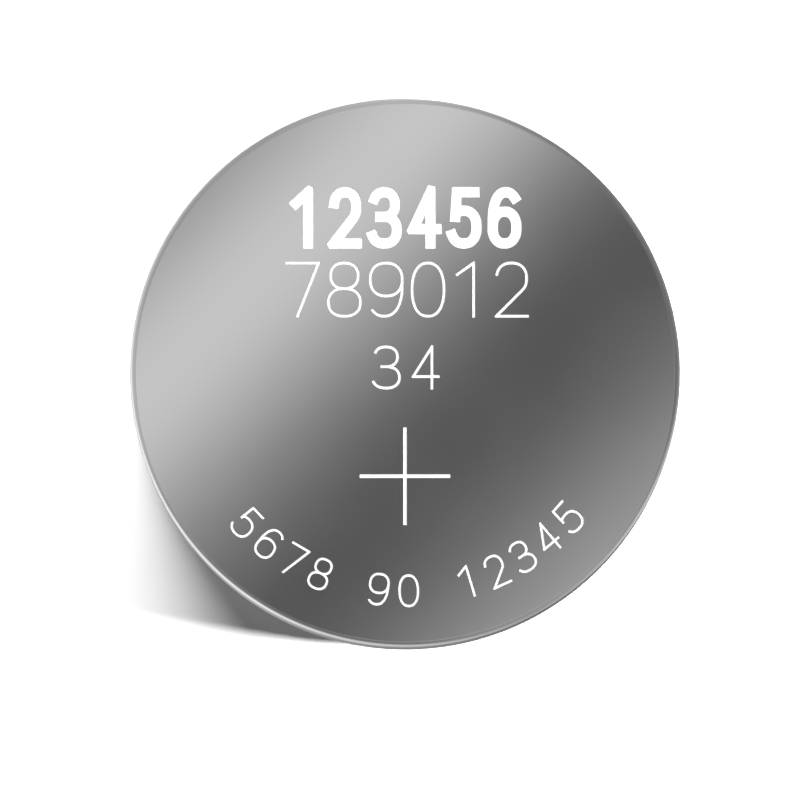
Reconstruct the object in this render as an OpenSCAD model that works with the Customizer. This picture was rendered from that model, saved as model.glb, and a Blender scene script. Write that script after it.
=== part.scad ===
// Lithium coin cell. It lies on its negative cap with the positive face up, and its axis is Z.
// The origin is the middle of the negative contact face.

/* [Cell] */
// Outside diameter of the cell
cell_d = 20; // [16:0.5:24.5]
// Overall height, from the negative contact face to the positive face
cell_h = 3.2; // [2.6:0.1:5]

/* [Positive can] */
// Thickness of the can's sheet
can_t = 0.25; // [0.2:0.01:0.3]
// Outside radius between the wall and the positive face
face_r = 0.2; // [0.1:0.05:0.6]
// Outside radius of the wall's rolled-in end
crimp_r = 0.9; // [0.7:0.05:1.1]
// Width of the rolled-in end, from the outside of the wall to the lip's edge
lip_w = 1.15; // [1:0.05:1.4]
// Height of the lip above the negative contact face
lip_lift = 0.2; // [0.15:0.05:0.3]

/* [Negative cap] */
// Thickness of the cap's sheet
cap_t = 0.25; // [0.2:0.01:0.3]
// Outside radius at the edge of the contact face
cap_edge_r = 0.5; // [0.4:0.05:0.6]
// Radius in the angle between the cap's wall and its shoulder
cap_step_r = 0.1; // [0.05:0.05:0.15]

/* [Gasket] */
// Thickness of the gasket, pressed between the can and the cap
gasket_t = 0.3; // [0.2:0.05:0.4]
// Height of the gasket's rim above the negative contact face
rim_lift = 0.15; // [0.1:0.05:0.25]
// Height of the leg that stands inside the cap's skirt
leg_h = 1.2; // [0.8:0.1:1.6]

/* [Electrodes] */
// Thickness of the lithium disc
anode_t = 0.6; // [0.4:0.05:0.8]
// Flat of the cap's inside that shows round the lithium disc
anode_margin = 0.05; // [0.02:0.01:0.5]
// Thickness of the separator's film
separator_t = 0.15; // [0.1:0.01:0.2]
// Height of the separator's cup
separator_h = 1.4; // [0.8:0.1:1.8]
// Outside radius at the foot of the separator's cup
separator_r = 0.3; // [0.2:0.05:0.4]
// Gap between the separator's cup and the cap's wall
separator_gap = 0.15; // [0.1:0.05:0.4]
// Gap between the cathode pellet and the separator's cup
pellet_gap = 0.05; // [0.02:0.01:0.2]
// Rounding at the upper edge of the cathode pellet
pellet_r = 0.15; // [0.1:0.01:0.3]

/* [Collector] */
// Thickness of the expanded metal
collector_t = 0.1; // [0.08:0.01:0.15]
// Width of the pellet that shows round the collector
collector_margin = 0.45; // [0.2:0.05:1]
// Width of the collector's plain rim
collector_rim = 0.3; // [0.2:0.05:0.6]
// Long pitch of the diamond mesh
mesh_long = 2.4; // [2:0.1:3.2]
// Short pitch of the diamond mesh
mesh_short = 1.2; // [1:0.1:1.6]
// Width of the mesh's strands
strand_w = 0.25; // [0.15:0.05:0.4]

/* [Hidden] */
$fn = 96;

// Inside radii smaller than this are left as sharp corners
least_r = 0.02;
// How far a cut runs past the face that it opens
past = 0.1;

// The can, from its outside inwards
can_r = cell_d / 2;
can_bore_r = can_r - can_t;
floor_z = cell_h - can_t;
lip_r = can_r - lip_w;
lip_top_z = lip_lift + can_t;

// The cap, set off from the can by the gasket
wall_r = lip_r - gasket_t;
shoulder_z = lip_top_z + gasket_t;
skirt_r = can_bore_r - gasket_t;
skirt_top_z = floor_z - gasket_t;
skirt_turn_r = inside_radius(crimp_r - can_t, gasket_t);
leg_r = skirt_r - cap_t - gasket_t;

// The stack inside, from the cap up to the can
anode_r = wall_r - cap_edge_r - anode_margin;
separator_z = cap_t + anode_t;
separator_top_z = separator_z + separator_h;
cup_r = wall_r - cap_t - separator_gap;
cup_floor_r = inside_radius(separator_r, separator_t);
pellet_z = separator_z + separator_t;
pellet_outer_r = cup_r - separator_t - pellet_gap;
collector_z = floor_z - collector_t;
collector_r = pellet_outer_r - collector_margin;

// Radius on the inside of a bend whose outside radius is r, in a sheet of thickness t
function inside_radius(r, t) = r - t < least_r ? 0 : r - t;

// What rounding a square corner at [x, z] takes off it. The corner looks down if up is 1, and up if up is -1
module corner_cut(x, z, r, up) {
    if (r > 0)
        translate([x - r, z + up * r])
            difference() {
                translate([0, min(0, -up * r)]) square(r);
                circle(r);
            }
}

// Half section of a disc of radius r between two heights, with its lower and upper rims rounded
module disc_section(r, low_z, high_z, low_r = 0, high_r = 0) {
    difference() {
        translate([0, low_z]) square([r, high_z - low_z]);
        corner_cut(r, low_z, low_r, 1);
        corner_cut(r, high_z, high_r, -1);
    }
}

// Half section of the room inside the can
module can_room() {
    disc_section(
        can_bore_r, lip_top_z, floor_z,
        inside_radius(crimp_r, can_t), inside_radius(face_r, can_t)
    );
}

// Half section of all that lies within the cap's outer skin
module cap_body() {
    disc_section(wall_r, 0, skirt_top_z, cap_edge_r);
    disc_section(skirt_r, shoulder_z, skirt_top_z, skirt_turn_r);
    translate([wall_r, shoulder_z - cap_step_r])
        difference() {
            square(cap_step_r);
            translate([cap_step_r, 0]) circle(cap_step_r);
        }
}

// Half section of the room inside the cap, open at the top
module cap_room() {
    step_r = cap_step_r + cap_t;
    top_z = skirt_top_z + past;
    inner_z = shoulder_z + cap_t;
    disc_section(wall_r - cap_t, cap_t, top_z, inside_radius(cap_edge_r, cap_t));
    disc_section(skirt_r - cap_t, inner_z, top_z, inside_radius(skirt_turn_r, cap_t));
    translate([wall_r - cap_t, inner_z - step_r])
        difference() {
            square(step_r);
            translate([step_r, 0]) circle(step_r);
        }
}

// Drawn steel cup whose wall is rolled in over the gasket. Its flat bottom is the positive contact
module positive_can() {
    color([0.72, 0.72, 0.71])
        rotate_extrude()
            difference() {
                disc_section(can_r, lip_lift, cell_h, crimp_r, face_r);
                can_room();
                translate([0, lip_lift - past]) square([lip_r, can_t + 2 * past]);
            }
}

// Stepped steel lid. Its flat is the negative contact, and its skirt stands in the gasket
module negative_cap() {
    color([0.76, 0.76, 0.75])
        rotate_extrude()
            difference() {
                cap_body();
                cap_room();
            }
}

// Moulded seal that fills the seam between can and cap, with a foot under the skirt and a leg inside it
module gasket() {
    rim_r = gasket_t / 2;
    color([0.13, 0.13, 0.14])
        rotate_extrude() {
            difference() {
                union() {
                    can_room();
                    translate([wall_r, rim_lift + rim_r])
                        square([gasket_t, lip_top_z - rim_lift - rim_r + past]);
                    translate([wall_r + rim_r, rim_lift + rim_r]) circle(rim_r);
                }
                cap_body();
                translate([0, skirt_top_z - past]) square([leg_r, gasket_t + 2 * past]);
            }
            translate([leg_r, floor_z - leg_h]) square([gasket_t, leg_h]);
        }
}

// Disc of lithium foil pressed onto the inside of the cap
module lithium_anode() {
    color([0.7, 0.71, 0.74])
        translate([0, 0, cap_t]) cylinder(h = anode_t, r = anode_r);
}

// Cup of porous film that wraps the cathode and keeps it off the lithium and the cap
module separator() {
    color([0.93, 0.93, 0.9])
        rotate_extrude()
            difference() {
                disc_section(cup_r, separator_z, separator_top_z, separator_r);
                disc_section(cup_r - separator_t, pellet_z, separator_top_z + past, cup_floor_r);
            }
}

// Pressed pellet of manganese dioxide and carbon
module cathode_pellet() {
    color([0.08, 0.08, 0.08])
        rotate_extrude()
            disc_section(pellet_outer_r, pellet_z, collector_z, cup_floor_r, pellet_r);
}

// One diamond opening of the expanded metal
module diamond() {
    half_long = (mesh_long - 2 * strand_w) / 2;
    half_short = (mesh_short - strand_w) / 2;
    polygon([[half_long, 0], [0, half_short], [-half_long, 0], [0, -half_short]]);
}

// Disc of expanded steel between the pellet and the bottom of the can, with a plain rim
module cathode_collector() {
    open_r = collector_r - collector_rim;
    columns = ceil(2 * open_r / mesh_long);
    rows = ceil(2 * open_r / mesh_short);
    color([0.6, 0.6, 0.6])
        translate([0, 0, collector_z])
            linear_extrude(collector_t)
                difference() {
                    circle(collector_r);
                    for (row = [-rows : rows], column = [-columns : columns]) {
                        x = (column + (row % 2 == 0 ? 0 : 0.5)) * mesh_long;
                        y = row * mesh_short / 2;
                        reach = norm([abs(x) + mesh_long / 2, abs(y)]);
                        if (reach < open_r && norm([x, abs(y) + mesh_short / 2]) < open_r)
                            translate([x, y]) diamond();
                    }
                }
}

positive_can();
negative_cap();
gasket();
lithium_anode();
separator();
cathode_pellet();
cathode_collector();
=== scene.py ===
import math

import bpy
import numpy as np
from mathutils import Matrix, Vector
from mathutils.geometry import delaunay_2d_cdt


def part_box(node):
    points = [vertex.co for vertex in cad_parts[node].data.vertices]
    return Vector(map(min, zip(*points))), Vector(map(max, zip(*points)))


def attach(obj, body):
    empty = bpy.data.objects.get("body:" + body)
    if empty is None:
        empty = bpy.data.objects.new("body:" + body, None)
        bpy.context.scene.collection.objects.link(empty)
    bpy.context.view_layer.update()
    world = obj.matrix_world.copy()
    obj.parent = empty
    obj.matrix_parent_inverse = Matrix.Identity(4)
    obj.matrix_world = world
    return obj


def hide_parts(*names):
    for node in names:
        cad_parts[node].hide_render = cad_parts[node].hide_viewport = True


# Looks of the lithium coin cell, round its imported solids. Lengths are in metres and +Z is up.
# The can, the gasket and the cap are turned again in fine steps, and marks are sunk into the can's face.

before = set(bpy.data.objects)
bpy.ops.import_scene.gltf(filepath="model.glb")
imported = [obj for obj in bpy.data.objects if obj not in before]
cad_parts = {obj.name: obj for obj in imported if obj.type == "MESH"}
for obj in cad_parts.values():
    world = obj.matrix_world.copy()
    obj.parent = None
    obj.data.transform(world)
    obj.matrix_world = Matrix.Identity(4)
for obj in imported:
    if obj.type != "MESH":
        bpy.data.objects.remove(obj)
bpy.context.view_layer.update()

MM = 0.001
# A length below this counts as nothing, in metres and in millimetres alike
NOTHING = 1e-9

# Sizes that the solids have and their boxes don't give
FACE_R = 0.2 * MM
CRIMP_R = 0.9 * MM
LIP_W = 1.15 * MM
CAP_T = 0.25 * MM
CAP_EDGE_R = 0.5 * MM
CAP_STEP_R = 0.1 * MM
LEG_H = 1.2 * MM
# Inside radii smaller than this are left as sharp corners
LEAST_R = 0.02 * MM

# Sizes that the boxes give, from the outside of the cell inwards
can_low, can_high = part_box("positive_can")
gasket_low, gasket_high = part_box("gasket")
cap_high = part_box("negative_cap")[1]
can_r = can_high.x
face_z = can_high.z
lip_z = can_low.z
bore_r = gasket_high.x
can_t = can_r - bore_r
floor_z = face_z - can_t
lip_r = can_r - LIP_W
lip_top_z = lip_z + can_t
skirt_r = cap_high.x
skirt_top_z = cap_high.z
gasket_t = bore_r - skirt_r
wall_r = lip_r - gasket_t
shoulder_z = lip_top_z + gasket_t
rim_z = gasket_low.z

# Steps of the turned pieces, round the axis and along a bend
TURN_STEPS = 256
BEND_STEP = math.radians(6)

# The etched marks: plain running figures, and the plus sign of the positive side
MARK_DEPTH = 0.01 * MM
# Step along the round stretches of a figure
FIGURE_STEP = math.radians(6)
# Squareness of those stretches, where 2 makes an ellipse
OVAL_POWER = 2.3
# How far a stroke's corner may stand out from its line, in half strokes
MITRE_LIMIT = 1.25
# Points of the marks that lie closer than this, in millimetres, become one
MERGE = 1e-4

# Noise: the range that most of it lies in, and its number of finer layers
NOISE_LOW = 0.3
NOISE_HIGH = 0.7
NOISE_DETAIL = 3

# The studio: a wide floor with its lamps, a faint room, and a panel and a tent for the metal alone
FLOOR_HALF = 1.5
FLOOR_GREY = 0.87
FLOOR_DRIFT = 0.01
LAMP_DISTANCE = 0.25
ROOM_LEVEL = 0.07
PANEL_Z = 0.06
PANEL_HALF = 0.02
# The tent stands up from its foot to its knee, and leans in from there to the panel
TENT_R = 0.08
TENT_KNEE_Z = 0.05
TENT_FOOT_Z = -0.0005

# Way along which the panel and the roof of the tent are graded, from the upper left to the lower right
SLANT = (math.sqrt(0.5), -math.sqrt(0.5), 0)
# Way to the bright side of the tent: its azimuth, and how much it rises
BRIGHT_DEG = 210
BRIGHT_RISE = -0.45

# Levels of the lights that the metal mirrors. Each stop is a place and the level there
# Panel: millimetres from the middle along the slant
PANEL_STOPS = [(-16.5, 0.05), (-9.4, 1.27), (-3.8, 0.24), (0.2, 0.03), (4.5, 0.17), (9, 0.6), (18, 0.9)]
# Roof: headings, from -1 against the slant to 1 along it
ROOF_STOPS = [(-1, 0.5), (-0.7, 0.84), (-0.35, 0.45), (0, 0.22), (0.7, 0.22), (1, 0.5)]
# Side and foot: headings, from -1 away from the bright side to 1 towards it
SIDE_STOPS = [
    (-1, 0.35), (-0.88, 0.37), (-0.78, 0.7), (-0.5, 0.95), (-0.2, 0.62),
    (0.1, 0.62), (0.4, 0.85), (0.7, 1.05), (0.9, 1.45),
]
# Side and foot: millimetres from the middle, with levels that multiply those of the headings
FOOT_STOPS = [(10, 0.25), (13, 0.7), (17, 0.85), (20, 1.25), (45, 1.25), (75, 0.8)]

# The view: the photograph's frame is 800 pixels wide and shows the disc 550 pixels across
FRAME_PX = 800
DISC_PX = 550
DISC_CENTRE_PX = (405.1, 372.3)
VIEW_TILT = math.radians(3.6)
VIEW_DISTANCE = 0.5
VIEW_NEAR = 0.01
VIEW_FAR = 10


def straight(start, end):
    """Straight run of a section, with its outward normals on the right of the way it goes"""
    dr, dz = end[0] - start[0], end[1] - start[1]
    length = math.hypot(dr, dz)
    normal = (dz / length, -dr / length)
    return [(start, normal), (end, normal)]


def bend(centre, radius, start_deg, end_deg):
    """Arc of a section, hollow if it runs clockwise. A radius of 0 makes a sharp corner"""
    if radius == 0:
        return [(centre, (0, 0))]
    start, end = math.radians(start_deg), math.radians(end_deg)
    steps = max(2, math.ceil(abs(end - start) / BEND_STEP))
    side = 1 if end > start else -1
    run = []
    for k in range(steps + 1):
        angle = start + (end - start) * k / steps
        c, s = math.cos(angle), math.sin(angle)
        run.append(((centre[0] + radius * c, centre[1] + radius * s), (side * c, side * s)))
    return run


def joined(*runs):
    """Runs of a section, with a straight run put in wherever there is a gap between two"""
    section = [runs[0]]
    for run in runs[1:]:
        end, start = section[-1][-1][0], run[0][0]
        if math.dist(end, start) > NOTHING:
            section.append(straight(end, start))
        section.append(run)
    return section


def inside_radius(radius, thickness):
    """Radius on the inside of a bend in sheet"""
    return radius - thickness if radius - thickness >= LEAST_R else 0


class Skin:
    """Points, faces and corner normals of one piece, before they become a mesh"""

    def __init__(self):
        self.points = []
        self.faces = []
        self.normals = []
        self.materials = []

    def add_points(self, points):
        """Adds points and returns their numbers"""
        first = len(self.points)
        self.points.extend(points)
        return list(range(first, len(self.points)))

    def add_face(self, corners, normals, material=0):
        """Adds a face by the numbers of its points, with a normal for each"""
        self.faces.append(corners)
        self.normals.extend(normals)
        self.materials.append(material)

    def build(self, name, materials):
        """Makes the mesh and its object, and puts it in the scene"""
        mesh = bpy.data.meshes.new(name)
        mesh.from_pydata(self.points, [], self.faces)
        for material in materials:
            mesh.materials.append(material)
        mesh.polygons.foreach_set("material_index", self.materials)
        mesh.polygons.foreach_set("use_smooth", [True] * len(self.faces))
        mesh.normals_split_custom_set(self.normals)
        piece = bpy.data.objects.new(name, mesh)
        bpy.context.scene.collection.objects.link(piece)
        return piece


def turn(skin, section, closed=False, material=0):
    """Turns a section about Z into the skin, and returns its last ring of points"""
    angles = [2 * math.pi * k / TURN_STEPS for k in range(TURN_STEPS)]
    around = [(math.cos(a), math.sin(a)) for a in angles]

    def ring(point):
        r, z = point
        if r < NOTHING:
            return skin.add_points([(0, 0, z)]) * TURN_STEPS
        return skin.add_points([(r * c, r * s, z) for c, s in around])

    def turned(k, normal):
        c, s = around[k]
        return normal[0] * c, normal[0] * s, normal[1]

    first = last = ring(section[0][0][0])
    for number, run in enumerate(section):
        for step in range(1, len(run)):
            closes = closed and number == len(section) - 1 and step == len(run) - 1
            new = first if closes else ring(run[step][0])
            before, after = run[step - 1][1], run[step][1]
            for k in range(TURN_STEPS):
                n = (k + 1) % TURN_STEPS
                corners = [(last[k], turned(k, before)), (last[n], turned(n, before)),
                           (new[n], turned(n, after)), (new[k], turned(k, after))]
                # On the axis two corners are one
                if last[k] == last[n]:
                    corners.pop(0)
                elif new[k] == new[n]:
                    corners.pop()
                skin.add_face([c[0] for c in corners], [c[1] for c in corners], material)
            last = new
    return last


def square_sheet(name, half, z, facing, material):
    """Square sheet about the axis at a height. It faces up if facing is 1, and down if it is -1"""
    skin = Skin()
    corners = [(-half, -half, z), (half, -half, z), (half, half, z), (-half, half, z)]
    skin.add_face(skin.add_points(corners[::facing]), [(0, 0, facing)] * 4)
    return skin.build(name, [material])


def oval(cx, cy, rx, ry, start_deg, end_deg):
    """Points along a slightly squared oval"""
    start, end = math.radians(start_deg), math.radians(end_deg)
    steps = max(2, math.ceil(abs(end - start) / FIGURE_STEP))
    points = []
    for k in range(steps + 1):
        angle = start + (end - start) * k / steps
        c, s = math.cos(angle), math.sin(angle)
        x = math.copysign(abs(c) ** (2 / OVAL_POWER), c)
        y = math.copysign(abs(s) ** (2 / OVAL_POWER), s)
        points.append((cx + rx * x, cy + ry * y))
    return points


def figure(n, w):
    """Centrelines of a figure, one unit high and w wide. One that ends where it starts is closed"""
    half = w / 2
    six = [
        oval(half, 0.31, half, 0.31, 0, 360),
        [(0, 0.31)] + oval(0.56 * w, 0.42, 0.56 * w, 0.58, 180, 52),
    ]
    return {
        "0": [oval(half, 0.5, half, 0.5, 0, 360)],
        "1": [[(0.1 * w, 0.78), (0.62 * w, 1), (0.62 * w, 0)]],
        "2": [oval(half, 0.71, 0.47 * w, 0.29, 168, -42) + [(0.02 * w, 0), (w, 0)]],
        "3": [
            oval(0.47 * w, 0.76, 0.45 * w, 0.24, 155, -90) + [(0.3 * w, 0.52)],
            [(0.3 * w, 0.52)] + oval(0.47 * w, 0.26, 0.53 * w, 0.26, 90, -158),
        ],
        "4": [[(0.74 * w, 0), (0.74 * w, 1), (0, 0.28), (w, 0.28)]],
        "5": [
            [(0.92 * w, 1), (0.17 * w, 1), (0.1 * w, 0.52)],
            oval(0.46 * w, 0.32, 0.54 * w, 0.32, 116, -155),
        ],
        "6": six,
        "7": [[(0, 1), (w, 1), (0.34 * w, 0)]],
        "8": [oval(half, 0.76, 0.43 * w, 0.24, 0, 360), oval(half, 0.26, half, 0.26, 0, 360)],
        "9": [[(w - x, 1 - y) for x, y in line] for line in six],
    }[n]


def side_line(line, offset, closed):
    """Line beside another at an offset. A corner that would stand out too far is cut off"""
    points = [Vector(p) for p in line]
    beside = []
    for k, point in enumerate(points):
        ways = []
        if closed or k > 0:
            ways.append((point - points[k - 1]).normalized())
        if closed or k < len(points) - 1:
            ways.append((points[(k + 1) % len(points)] - point).normalized())
        across = [Vector((-way.y, way.x)) for way in ways]
        middle = (across[0] + across[-1]).normalized()
        lean = middle.dot(across[0])
        outer = ways[0].cross(ways[-1]) * offset < 0
        if outer and lean * MITRE_LIMIT < 1:
            out = middle * math.copysign(1, offset)
            slide = abs(offset) * (MITRE_LIMIT - lean) / ways[0].dot(out)
            beside.append(tuple(point + across[0] * offset + ways[0] * slide))
            beside.append(tuple(point + across[1] * offset - ways[1] * slide))
        else:
            beside.append(tuple(point + middle * offset / lean))
    return beside


def lengthened(end, before, length):
    """The end of a line moved on by a length, along the way from the point before it"""
    return tuple(Vector(end) + (Vector(end) - Vector(before)).normalized() * length)


def stroke(line, width):
    """Outlines of a stroke along a line. Square ends stand half a stroke past the line's own"""
    half = width / 2
    if math.dist(line[0], line[-1]) < NOTHING:
        line = line[:-1]
        return [side_line(line, half, True), side_line(line, -half, True)[::-1]]
    first = lengthened(line[0], line[1], half)
    last = lengthened(line[-1], line[-2], half)
    line = [first, *line[1:-1], last]
    return [side_line(line, half, False) + side_line(line, -half, False)[::-1]]


def place_figure(n, middle, size, weight, angle=0):
    """Strokes of a figure of an outer size about a middle, turned by an angle"""
    w, h = size[0] - weight, size[1] - weight
    c, s = math.cos(angle), math.sin(angle)
    strokes = []
    for line in figure(n, w / h):
        flat = [((x - w / h / 2) * h, (y - 0.5) * h) for x, y in line]
        placed = [(middle[0] + c * x - s * y, middle[1] + s * x + c * y) for x, y in flat]
        strokes.append(stroke(placed, weight))
    return strokes


def figure_row(figures, middle, pitch, size, weight):
    """A straight row of figures"""
    strokes = []
    for k, n in enumerate(figures):
        x = middle[0] + (k - (len(figures) - 1) / 2) * pitch
        strokes += place_figure(n, (x, middle[1]), size, weight)
    return strokes


def figure_arc(figures, radius, middle_deg, pitch_deg, size, weight):
    """A row of figures along the lower rim, with their heads towards the middle. A blank leaves a gap"""
    strokes = []
    for k, n in enumerate(figures):
        if n != " ":
            angle = math.radians(middle_deg + (k - (len(figures) - 1) / 2) * pitch_deg)
            place = (radius * math.cos(angle), radius * math.sin(angle))
            strokes += place_figure(n, place, size, weight, angle + math.pi / 2)
    return strokes


def plus_sign(middle_y, size, weight):
    """The two bars of the plus sign"""
    across, up = (size[0] - weight) / 2, (size[1] - weight) / 2
    return [
        stroke([(-across, middle_y), (across, middle_y)], weight),
        stroke([(0, middle_y - up), (0, middle_y + up)], weight),
    ]


def face_marks():
    """Strokes of all the marks on the positive face, in millimetres from its middle"""
    return [
        *figure_row("123456", middle=(0, 5.64), pitch=1.45, size=(1.24, 2.25), weight=0.38),
        *figure_row("789012", middle=(0.08, 3.02), pitch=1.52, size=(1.26, 2.04), weight=0.1),
        *figure_row("34", middle=(0.05, 0.18), pitch=1.42, size=(1.02, 1.6), weight=0.1),
        *plus_sign(middle_y=-3.78, size=(3.3, 3.56), weight=0.13),
        *figure_arc("5678 90 12345", radius=7.95, middle_deg=271, pitch_deg=7.9,
                    size=(0.76, 1.2), weight=0.09),
    ]


def inside(outlines, points):
    """Which of the points a stroke's outlines wind round. The outline of a hole runs the other way"""
    turns = np.zeros(len(points), int)
    x, y = points.T
    for outline in outlines:
        for a, b in zip(outline, outline[1:] + outline[:1]):
            spans = (a[1] > y) != (b[1] > y)
            rise = b[1] - a[1]
            # A level side spans no point, so 1 may stand in for its rise
            left = x < a[0] + (y - a[1]) * (b[0] - a[0]) / (rise or 1)
            turns += np.where(spans & left, 1 if rise > 0 else -1, 0)
    return turns != 0


def etched_face(skin, rim, strokes, plain, etched):
    """Fills the can's face inside its rim of points, with the strokes sunk in the etched material"""
    flat = [Vector((skin.points[i][0] / MM, skin.points[i][1] / MM)) for i in rim]
    edges = []
    for outline in (outline for outlines in strokes for outline in outlines):
        first = len(flat)
        flat += [Vector(p) for p in outline]
        edges += [(first + k, first + (k + 1) % len(outline)) for k in range(len(outline))]
    # An output of this kind keeps every triangle inside the rim
    whole = 0
    points, _, triangles, sources, _, _ = delaunay_2d_cdt(flat, edges, [], whole, MERGE)
    middles = np.array([sum((points[i] for i in t), Vector((0, 0))) / 3 for t in triangles])
    sunk = np.zeros(len(triangles), bool)
    for outlines in strokes:
        sunk |= inside(outlines, middles)

    on_rim = {}
    for k, found in enumerate(sources):
        for source in found:
            if source < len(rim):
                on_rim[k] = rim[source]
    levels = [{}, {}]

    def corner(k, level):
        """Number of the skin's point for a corner, at the face's level or the sunk one"""
        if level == 0 and k in on_rim:
            return on_rim[k]
        if k not in levels[level]:
            x, y = points[k] * MM
            levels[level][k], = skin.add_points([(x, y, face_z - level * MARK_DEPTH)])
        return levels[level][k]

    up = (0, 0, 1)
    edge_sunk = {}
    for triangle, is_sunk in zip(triangles, sunk):
        level = int(is_sunk)
        skin.add_face([corner(k, level) for k in triangle], [up] * 3, etched if is_sunk else plain)
        for a, b in zip(triangle, triangle[1:] + triangle[:1]):
            edge_sunk[(a, b)] = is_sunk
    for (a, b), is_sunk in edge_sunk.items():
        if is_sunk and not edge_sunk.get((b, a), True):
            way = (points[b] - points[a]).normalized()
            normal = (-way.y, way.x, 0)
            wall = [corner(b, 1), corner(a, 1), corner(a, 0), corner(b, 0)]
            skin.add_face(wall, [normal] * 4, etched)


def positive_can(face_metal, wall_metal, etching):
    """Steel cup with rounded face edge and rolled-in end, and the marks in its face"""
    crimp = inside_radius(CRIMP_R, can_t)
    corner = inside_radius(FACE_R, can_t)
    section = joined(
        straight((0, floor_z), (bore_r - corner, floor_z)),
        bend((bore_r - corner, floor_z - corner), corner, 90, 0),
        bend((bore_r - crimp, lip_top_z + crimp), crimp, 0, -90),
        straight((lip_r, lip_top_z), (lip_r, lip_z)),
        bend((can_r - CRIMP_R, lip_z + CRIMP_R), CRIMP_R, -90, 0),
        bend((can_r - FACE_R, face_z - FACE_R), FACE_R, 0, 90),
    )
    skin = Skin()
    rim = turn(skin, section, material=1)
    etched_face(skin, rim, face_marks(), plain=0, etched=2)
    return skin.build("can_turned", [face_metal, wall_metal, etching])


def negative_cap(metal):
    """Stepped steel lid whose skirt stands in the gasket"""
    edge_in = inside_radius(CAP_EDGE_R, CAP_T)
    turn_out = inside_radius(CRIMP_R - can_t, gasket_t)
    turn_in = inside_radius(turn_out, CAP_T)
    step = (wall_r + CAP_STEP_R, shoulder_z - CAP_STEP_R)
    skirt = (skirt_r - turn_out, shoulder_z + turn_out)
    section = joined(
        straight((0, 0), (wall_r - CAP_EDGE_R, 0)),
        bend((wall_r - CAP_EDGE_R, CAP_EDGE_R), CAP_EDGE_R, -90, 0),
        bend(step, CAP_STEP_R, 180, 90),
        bend(skirt, turn_out, -90, 0),
        straight((skirt_r, skirt_top_z), (skirt_r - CAP_T, skirt_top_z)),
        bend(skirt, turn_in, 0, -90),
        bend(step, CAP_STEP_R + CAP_T, 90, 180),
        bend((wall_r - CAP_EDGE_R, CAP_EDGE_R), edge_in, 0, -90),
        straight((wall_r - CAP_EDGE_R, CAP_T), (0, CAP_T)),
    )
    skin = Skin()
    turn(skin, section)
    return skin.build("cap_turned", [metal])


def gasket(plastic):
    """Moulded seal between can and cap"""
    rim_r = gasket_t / 2
    crimp = inside_radius(CRIMP_R, can_t)
    corner = inside_radius(FACE_R, can_t)
    turn_out = inside_radius(crimp, gasket_t)
    leg_out = skirt_r - CAP_T
    section = joined(
        bend((wall_r + rim_r, rim_z + rim_r), rim_r, 180, 360),
        straight((lip_r, rim_z + rim_r), (lip_r, lip_top_z)),
        bend((bore_r - crimp, lip_top_z + crimp), crimp, -90, 0),
        bend((bore_r - corner, floor_z - corner), corner, 0, 90),
        straight((leg_out - gasket_t, floor_z), (leg_out - gasket_t, floor_z - LEG_H)),
        straight((leg_out, floor_z - LEG_H), (leg_out, skirt_top_z)),
        straight((skirt_r, skirt_top_z), (skirt_r, shoulder_z + turn_out)),
        bend((skirt_r - turn_out, shoulder_z + turn_out), turn_out, 0, -90),
        bend((wall_r + CAP_STEP_R, shoulder_z - CAP_STEP_R), CAP_STEP_R, 90, 180),
        straight((wall_r, shoulder_z - CAP_STEP_R), (wall_r, rim_z + rim_r)),
    )
    skin = Skin()
    turn(skin, section, closed=True)
    return skin.build("gasket_turned", [plastic])


def noise(tree, scale, stretch=(1, 1, 1)):
    """Noise over the object's millimetres, stretched by a factor along each axis"""
    place = tree.nodes.new("ShaderNodeTexCoord")
    mapping = tree.nodes.new("ShaderNodeMapping")
    mapping.inputs["Scale"].default_value = [1 / MM / factor for factor in stretch]
    texture = tree.nodes.new("ShaderNodeTexNoise")
    texture.inputs["Scale"].default_value = scale
    texture.inputs["Detail"].default_value = NOISE_DETAIL
    tree.links.new(place.outputs["Object"], mapping.inputs["Vector"])
    tree.links.new(mapping.outputs["Vector"], texture.inputs["Vector"])
    return texture.outputs["Fac"]


def between(tree, value, low, high):
    """A number between two others that follows a noise"""
    span = tree.nodes.new("ShaderNodeMapRange")
    span.inputs["From Min"].default_value = NOISE_LOW
    span.inputs["From Max"].default_value = NOISE_HIGH
    span.inputs["To Min"].default_value = low
    span.inputs["To Max"].default_value = high
    tree.links.new(value, span.inputs["Value"])
    return span.outputs["Result"]


def shades(tree, value, dark, light):
    """A colour between two others that follows a noise"""
    ramp = tree.nodes.new("ShaderNodeValToRGB")
    ramp.color_ramp.elements[0].position = NOISE_LOW
    ramp.color_ramp.elements[0].color = (*dark, 1)
    ramp.color_ramp.elements[1].position = NOISE_HIGH
    ramp.color_ramp.elements[1].color = (*light, 1)
    tree.links.new(value, ramp.inputs["Fac"])
    return ramp.outputs["Color"]


def relief(tree, value, height):
    """Bump of a height that follows a noise"""
    bump = tree.nodes.new("ShaderNodeBump")
    bump.inputs["Strength"].default_value = 1
    bump.inputs["Distance"].default_value = height
    tree.links.new(value, bump.inputs["Height"])
    return bump.outputs["Normal"]


def surface(name, colours, roughness, cloud_scale, grain_scale, grain_height,
            stretch=(1, 1, 1), metallic=0):
    """A material whose colour and roughness drift in soft clouds over a finer, shallow grain"""
    material = bpy.data.materials.new(name)
    material.use_nodes = True
    tree = material.node_tree
    shader = tree.nodes["Principled BSDF"]
    shader.inputs["Metallic"].default_value = metallic
    cloud = noise(tree, cloud_scale)
    grain = noise(tree, grain_scale, stretch)
    tree.links.new(shades(tree, cloud, *colours), shader.inputs["Base Color"])
    tree.links.new(between(tree, cloud, *roughness), shader.inputs["Roughness"])
    tree.links.new(relief(tree, grain, grain_height), shader.inputs["Normal"])
    return material


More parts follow.
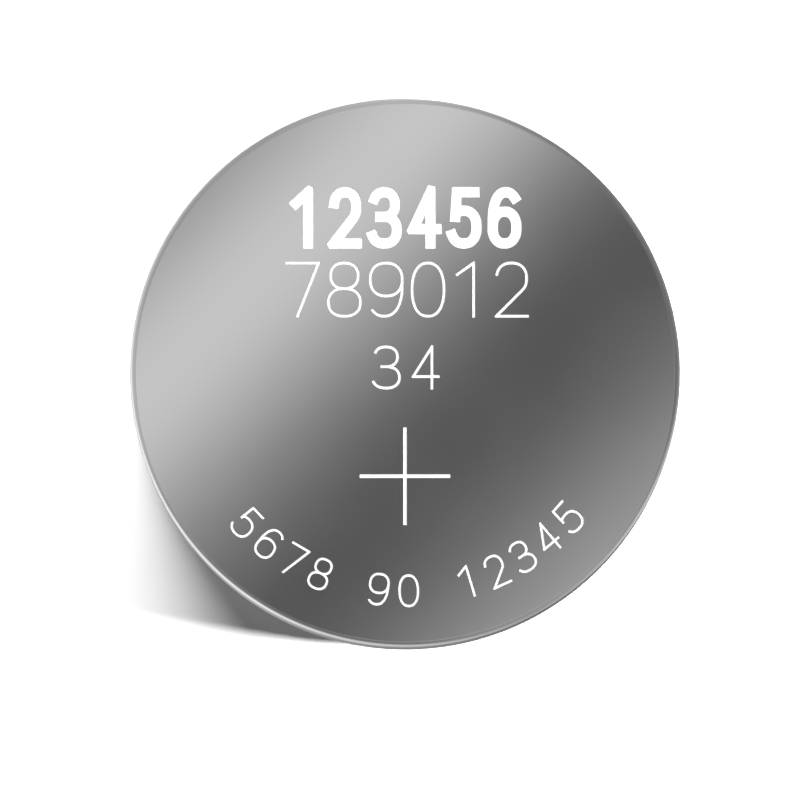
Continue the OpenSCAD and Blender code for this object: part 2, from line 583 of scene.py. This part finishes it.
def grey(value, warmth=0):
    """A grey, warmer if warmth is above 0 and cooler if it is below"""
    return value * (1 + warmth), value, value * (1 - warmth)


def can_face_steel():
    """Satin nickel of the marked face, with a grain too fine to tell apart"""
    return surface(
        "can_face_steel", colours=(grey(0.605), grey(0.625)), roughness=(0.15, 0.16),
        cloud_scale=0.25, grain_scale=14, grain_height=0.0001 * MM, metallic=1,
    )


def can_wall_steel():
    """Drawn steel of the can's wall, with its grain along the draw"""
    return surface(
        "can_wall_steel", colours=(grey(0.58), grey(0.62)), roughness=(0.2, 0.25),
        cloud_scale=0.4, grain_scale=14, grain_height=0.0004 * MM, stretch=(1, 1, 6), metallic=1,
    )


def cap_satin_steel():
    """Satin steel of the negative cap"""
    return surface(
        "cap_satin_steel", colours=(grey(0.6), grey(0.64)), roughness=(0.24, 0.28),
        cloud_scale=0.3, grain_scale=14, grain_height=0.0004 * MM, metallic=1,
    )


def etched_white():
    """Matt pale etching of the marks"""
    return surface(
        "etched_white", colours=(grey(0.47), grey(0.5)), roughness=(0.6, 0.75),
        cloud_scale=1, grain_scale=20, grain_height=0.002 * MM,
    )


def gasket_plastic():
    """Black moulded plastic of the seal"""
    return surface(
        "gasket_plastic", colours=(grey(0.012), grey(0.02)), roughness=(0.4, 0.5),
        cloud_scale=1, grain_scale=10, grain_height=0.003 * MM,
    )


def lithium_foil():
    """Soft dull foil, a little cool, with the streaks of rolling"""
    return surface(
        "lithium_foil", colours=(grey(0.5, -0.03), grey(0.62, -0.02)), roughness=(0.35, 0.55),
        cloud_scale=0.4, grain_scale=6, grain_height=0.004 * MM, stretch=(1, 8, 1), metallic=1,
    )


def porous_film():
    """White film of the separator, with a fibrous grain"""
    return surface(
        "porous_film", colours=(grey(0.78, 0.02), grey(0.88, 0.01)), roughness=(0.75, 0.9),
        cloud_scale=2, grain_scale=12, grain_height=0.01 * MM, stretch=(3, 1, 1),
    )


def pressed_powder():
    """Black pressed powder of the cathode"""
    return surface(
        "pressed_powder", colours=(grey(0.012), grey(0.035)), roughness=(0.7, 0.85),
        cloud_scale=0.8, grain_scale=9, grain_height=0.012 * MM,
    )


def expanded_steel():
    """Bare steel of the collector, with the streaks of stretching"""
    return surface(
        "expanded_steel", colours=(grey(0.45), grey(0.55)), roughness=(0.3, 0.4),
        cloud_scale=0.5, grain_scale=12, grain_height=0.002 * MM, stretch=(4, 1, 1), metallic=1,
    )


def pale_floor():
    """Matt pale paper of the floor"""
    return surface(
        "pale_floor", colours=(grey(FLOOR_GREY - FLOOR_DRIFT), grey(FLOOR_GREY + FLOOR_DRIFT)),
        roughness=(0.85, 0.95), cloud_scale=0.02, grain_scale=3, grain_height=0.002 * MM,
    )


def dress_cell():
    """Makes the pieces that stand for the visible nodes, and gives every node its material"""
    wall_metal = can_wall_steel()
    cap_metal = cap_satin_steel()
    plastic = gasket_plastic()
    turned = [
        (positive_can(can_face_steel(), wall_metal, etched_white()), "positive_can", "can_steel"),
        (negative_cap(cap_metal), "negative_cap", "cap_steel"),
        (gasket(plastic), "gasket", "gasket_polypropylene"),
    ]
    for piece, node, slot in turned:
        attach(piece, "root")
        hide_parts(node)

    dressed = {
        "positive_can": wall_metal,
        "negative_cap": cap_metal,
        "gasket": plastic,
        "lithium_anode": lithium_foil(),
        "separator": porous_film(),
        "cathode_pellet": pressed_powder(),
        "cathode_collector": expanded_steel(),
    }
    for node, material in dressed.items():
        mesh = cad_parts[node].data
        mesh.materials.clear()
        mesh.materials.append(material)


def floor():
    """Plain pale floor, which the metal doesn't mirror"""
    sheet = square_sheet("floor", FLOOR_HALF, 0, 1, pale_floor())
    sheet.visible_glossy = False


def softbox(name, azimuth_deg, elevation_deg, size, floor_level):
    """Round soft lamp aimed at the cell, which gives the floor a level. Azimuth starts at +X"""
    a, e = math.radians(azimuth_deg), math.radians(elevation_deg)
    way = Vector((math.cos(a) * math.cos(e), math.sin(a) * math.cos(e), math.sin(e)))
    light = bpy.data.lights.new(name, "AREA")
    light.shape = "DISK"
    light.size = size
    light.energy = floor_level * (math.pi * LAMP_DISTANCE) ** 2 / FLOOR_GREY / math.sin(e)
    lamp = bpy.data.objects.new(name, light)
    lamp.location = way * LAMP_DISTANCE
    lamp.rotation_euler = (-lamp.location).to_track_quat("-Z", "Y").to_euler()
    lamp.visible_glossy = False
    bpy.context.scene.collection.objects.link(lamp)


def light_material(name):
    """A glowing material, its node tree, the place in the object, and the socket of its colour"""
    material = bpy.data.materials.new(name)
    material.use_nodes = True
    tree = material.node_tree
    tree.nodes.clear()
    place = tree.nodes.new("ShaderNodeTexCoord")
    glow = tree.nodes.new("ShaderNodeEmission")
    output = tree.nodes.new("ShaderNodeOutputMaterial")
    tree.links.new(glow.outputs["Emission"], output.inputs["Surface"])
    return material, tree, place.outputs["Object"], glow.inputs["Color"]


def vector_math(tree, operation, *values):
    """Outputs of a node of vector arithmetic. A value is a constant or another node's output"""
    node = tree.nodes.new("ShaderNodeVectorMath")
    node.operation = operation
    for socket, value in zip(node.inputs, values):
        if isinstance(value, tuple):
            socket.default_value = value
        else:
            tree.links.new(value, socket)
    return node.outputs


def graded(tree, value, low, high, stops):
    """Levels that follow a value between a low and a high one. Each stop is a value and its level"""
    span = tree.nodes.new("ShaderNodeMapRange")
    span.inputs["From Min"].default_value = low
    span.inputs["From Max"].default_value = high
    ramp = tree.nodes.new("ShaderNodeValToRGB")
    # Where a new element starts doesn't matter, because each gets its place below
    while len(ramp.color_ramp.elements) < len(stops):
        ramp.color_ramp.elements.new(position=0.5)
    for element, (at, level) in zip(ramp.color_ramp.elements, stops):
        element.position = (at - low) / (high - low)
        element.color = (level, level, level, 1)
    tree.links.new(value, span.inputs["Value"])
    tree.links.new(span.outputs["Result"], ramp.inputs["Fac"])
    return ramp.outputs["Color"]


def in_metres(stops):
    """The same stops with their places in metres instead of millimetres"""
    return [(at * MM, level) for at, level in stops]


def only_for_metal(piece):
    """Leaves a piece of the studio to the metal's reflections"""
    piece.visible_camera = piece.visible_diffuse = piece.visible_shadow = False


def gradient_panel():
    """Soft light over the cell, graded along the slant"""
    material, tree, place, colour = light_material("panel_light")
    across = vector_math(tree, "DOT_PRODUCT", place, SLANT)["Value"]
    tree.links.new(graded(tree, across, -PANEL_HALF, PANEL_HALF, in_metres(PANEL_STOPS)), colour)
    only_for_metal(square_sheet("light_panel", PANEL_HALF, PANEL_Z, -1, material))


def roof_light():
    """Glow of the tent's roof, which follows the heading seen from above"""
    material, tree, place, colour = light_material("roof_light")
    level_place = vector_math(tree, "MULTIPLY", place, (1, 1, 0))["Vector"]
    heading = vector_math(tree, "NORMALIZE", level_place)["Vector"]
    across = vector_math(tree, "DOT_PRODUCT", heading, SLANT)["Value"]
    tree.links.new(graded(tree, across, -1, 1, ROOF_STOPS), colour)
    return material


def tent_light():
    """Glow of the tent's side and foot, strongest on the bright side and dim close to the cell"""
    material, tree, place, colour = light_material("tent_light")
    a = math.radians(BRIGHT_DEG)
    bright_way = (math.cos(a), math.sin(a), BRIGHT_RISE)
    heading = vector_math(tree, "NORMALIZE", place)["Vector"]
    towards = vector_math(tree, "DOT_PRODUCT", heading, bright_way)["Value"]
    away = vector_math(tree, "LENGTH", place)["Value"]
    by_heading = graded(tree, towards, -1, 1, SIDE_STOPS)
    by_distance = graded(tree, away, 0, TENT_R, in_metres(FOOT_STOPS))
    tree.links.new(vector_math(tree, "MULTIPLY", by_heading, by_distance)["Vector"], colour)
    return material


def light_tent():
    """Tent of light round the cell: a roof from the panel outwards, an upright side and a foot"""
    skin = Skin()
    knee, foot = (TENT_R, TENT_KNEE_Z), (TENT_R, TENT_FOOT_Z)
    turn(skin, [straight((PANEL_HALF, PANEL_Z), knee)], material=1)
    turn(skin, [straight(knee, foot), straight(foot, (0, TENT_FOOT_Z))])
    only_for_metal(skin.build("light_tent", [tent_light(), roof_light()]))


def room():
    """Faint light from all round"""
    world = bpy.data.worlds.new("room")
    world.use_nodes = True
    background = world.node_tree.nodes["Background"]
    background.inputs["Color"].default_value = (ROOM_LEVEL, ROOM_LEVEL, ROOM_LEVEL, 1)
    bpy.context.scene.world = world


def camera():
    """Long lens almost straight above the face, as in the photograph"""
    pixel = 2 * can_r / DISC_PX
    right, down = DISC_CENTRE_PX[0] - FRAME_PX / 2, DISC_CENTRE_PX[1] - FRAME_PX / 2
    target = Vector((-right * pixel, down * pixel, face_z))
    data = bpy.data.cameras.new("view")
    data.lens = data.sensor_width * VIEW_DISTANCE / (FRAME_PX * pixel)
    data.clip_start, data.clip_end = VIEW_NEAR, VIEW_FAR
    eye = bpy.data.objects.new("view", data)
    back = Vector((0, -math.sin(VIEW_TILT), math.cos(VIEW_TILT)))
    eye.location = target + back * VIEW_DISTANCE
    eye.rotation_euler = (-back).to_track_quat("-Z", "Y").to_euler()
    bpy.context.scene.collection.objects.link(eye)
    bpy.context.scene.camera = eye


def studio():
    """Floor, lights and camera"""
    floor()
    gradient_panel()
    light_tent()
    softbox("key", azimuth_deg=108, elevation_deg=17, size=0.18, floor_level=1.12)
    softbox("fill", azimuth_deg=-9, elevation_deg=22.5, size=0.03, floor_level=1.5)
    room()
    camera()
    bpy.context.scene.view_settings.view_transform = "Standard"


dress_cell()
studio()
